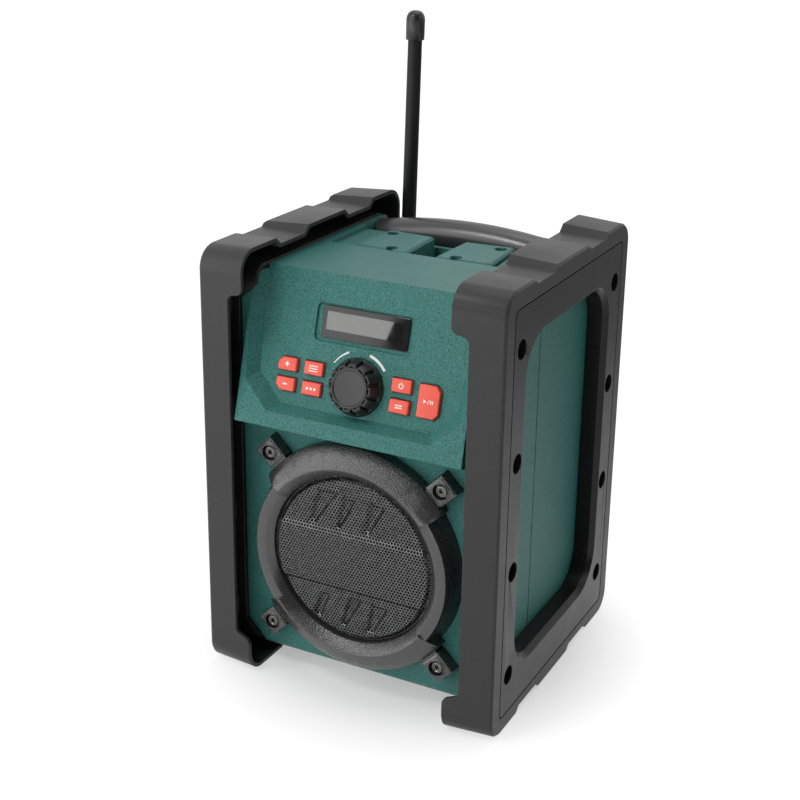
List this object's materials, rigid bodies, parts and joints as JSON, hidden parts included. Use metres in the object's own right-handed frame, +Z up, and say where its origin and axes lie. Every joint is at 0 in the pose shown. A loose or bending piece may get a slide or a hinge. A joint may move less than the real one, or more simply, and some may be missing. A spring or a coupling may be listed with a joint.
{
  "type": "jobsite radio",
  "caption": "Rugged portable jobsite radio with tilted control console, round speaker, top tool tray, carrying handle, tilting antenna and protective side bumpers.",
  "frame": {"origin": "on the ground under the middle of the body", "axes": "+X to the right as seen from the front, +Y to the back, +Z up"},
  "size_m": [0.2, 0.2, 0.4021],
  "materials": {
    "green_abs": "fine moulded texture",
    "black_plastic": "fine moulded texture",
    "bumper_rubber": "satin, slightly elastic bumper plastic",
    "soft_rubber": "smooth",
    "key_red": "soft-touch",
    "steel": "plated",
    "grille_metal": "perforated, painted dark grey",
    "gloss_black": "polished",
    "grey_plastic": "satin",
    "cone_paper": "pressed pulp",
    "silicone": "matte",
    "circuit_board": "solder resist",
    "aluminium": "bare"
  },
  "bodies": {
    "radio": {"front_housing": "green_abs", "rear_housing": "green_abs", "housing_seal": "soft_rubber", "left_side_frame": "black_plastic", "right_side_frame": "black_plastic", "left_bumper": "bumper_rubber", "right_bumper": "bumper_rubber", "left_side_plate": "black_plastic", "right_side_plate": "black_plastic", "left_side_screws": "steel", "right_side_screws": "steel", "speaker_ring": "black_plastic", "ring_screws": "steel", "speaker_grille": "grille_metal", "speaker_gasket": "soft_rubber", "speaker_basket": "grille_metal", "speaker_magnet": "steel", "speaker_surround": "soft_rubber", "speaker_screws": "steel", "display_lens": "gloss_black", "lcd_module": "grey_plastic", "encoder_body": "steel", "keypad_membrane": "silicone", "key_switches": "grey_plastic", "control_board": "circuit_board", "control_screws": "steel", "left_tool_block": "green_abs", "right_tool_block": "green_abs", "handle_grip": "soft_rubber", "handle_tube": "steel", "handle_screws": "steel", "antenna_bracket": "black_plastic", "antenna_screws": "steel", "antenna_pin": "steel", "battery_box": "black_plastic", "battery_contacts": "steel", "battery_cells": "steel", "hinge_pins": "steel", "main_board": "circuit_board", "heat_sink": "aluminium", "board_screws": "steel", "jack_panel": "black_plastic", "sockets": "grey_plastic", "housing_screws": "steel"},
    "knob": {"volume_knob": "black_plastic", "knob_cap": "grey_plastic", "encoder_shaft": "steel"},
    "cone": {"speaker_cone": "cone_paper"},
    "antenna": {"antenna_knuckle": "black_plastic", "antenna_rod": "soft_rubber", "antenna_cap": "gloss_black"},
    "door": {"battery_door": "green_abs"},
    "port_cover": {"jack_cover": "soft_rubber"},
    "plus_key": {"plus_button": "key_red"},
    "minus_key": {"minus_button": "key_red"},
    "info_key": {"info_button": "key_red"},
    "preset_key": {"preset_button": "key_red"},
    "power_key": {"power_button": "key_red"},
    "source_key": {"source_button": "key_red"},
    "play_key": {"play_button": "key_red"}
  },
  "joints": [
    {"name": "volume_turn", "type": "hinge", "parent": "radio", "child": "knob", "pos_m": [0, -0.08252, 0.20434], "axis": [0, -0.965, 0.2622], "continuous": true},
    {"name": "plus_press", "type": "slide", "parent": "radio", "child": "plus_key", "axis": [0, 0.965, -0.2622], "range_m": [0, 0.001], "stiffness_N_per_m": 400, "springref_m": -0.0005},
    {"name": "minus_press", "type": "slide", "parent": "radio", "child": "minus_key", "axis": [0, 0.965, -0.2622], "range_m": [0, 0.001], "stiffness_N_per_m": 400, "springref_m": -0.0005},
    {"name": "info_press", "type": "slide", "parent": "radio", "child": "info_key", "axis": [0, 0.965, -0.2622], "range_m": [0, 0.001], "stiffness_N_per_m": 400, "springref_m": -0.0005},
    {"name": "preset_press", "type": "slide", "parent": "radio", "child": "preset_key", "axis": [0, 0.965, -0.2622], "range_m": [0, 0.001], "stiffness_N_per_m": 400, "springref_m": -0.0005},
    {"name": "power_press", "type": "slide", "parent": "radio", "child": "power_key", "axis": [0, 0.965, -0.2622], "range_m": [0, 0.001], "stiffness_N_per_m": 400, "springref_m": -0.0005},
    {"name": "source_press", "type": "slide", "parent": "radio", "child": "source_key", "axis": [0, 0.965, -0.2622], "range_m": [0, 0.001], "stiffness_N_per_m": 400, "springref_m": -0.0005},
    {"name": "play_press", "type": "slide", "parent": "radio", "child": "play_key", "axis": [0, 0.965, -0.2622], "range_m": [0, 0.001], "stiffness_N_per_m": 400, "springref_m": -0.0005},
    {"name": "cone_stroke", "type": "slide", "parent": "radio", "child": "cone", "axis": [0, -1, 0], "range_m": [-0.0015, 0.0015], "stiffness_N_per_m": 1500},
    {"name": "antenna_tilt", "type": "hinge", "parent": "radio", "child": "antenna", "pos_m": [-0.057, 0.09, 0.203], "axis": [-1, 0, 0], "range_deg": [0, 90]},
    {"name": "door_swing", "type": "hinge", "parent": "radio", "child": "door", "pos_m": [0, 0.0818, 0.0356], "axis": [-1, 0, 0], "range_deg": [0, 100]},
    {"name": "port_cover_swing", "type": "hinge", "parent": "radio", "child": "port_cover", "pos_m": [0.04, 0.0818, 0.1496], "axis": [-1, 0, 0], "range_deg": [0, 120]}
  ]
}
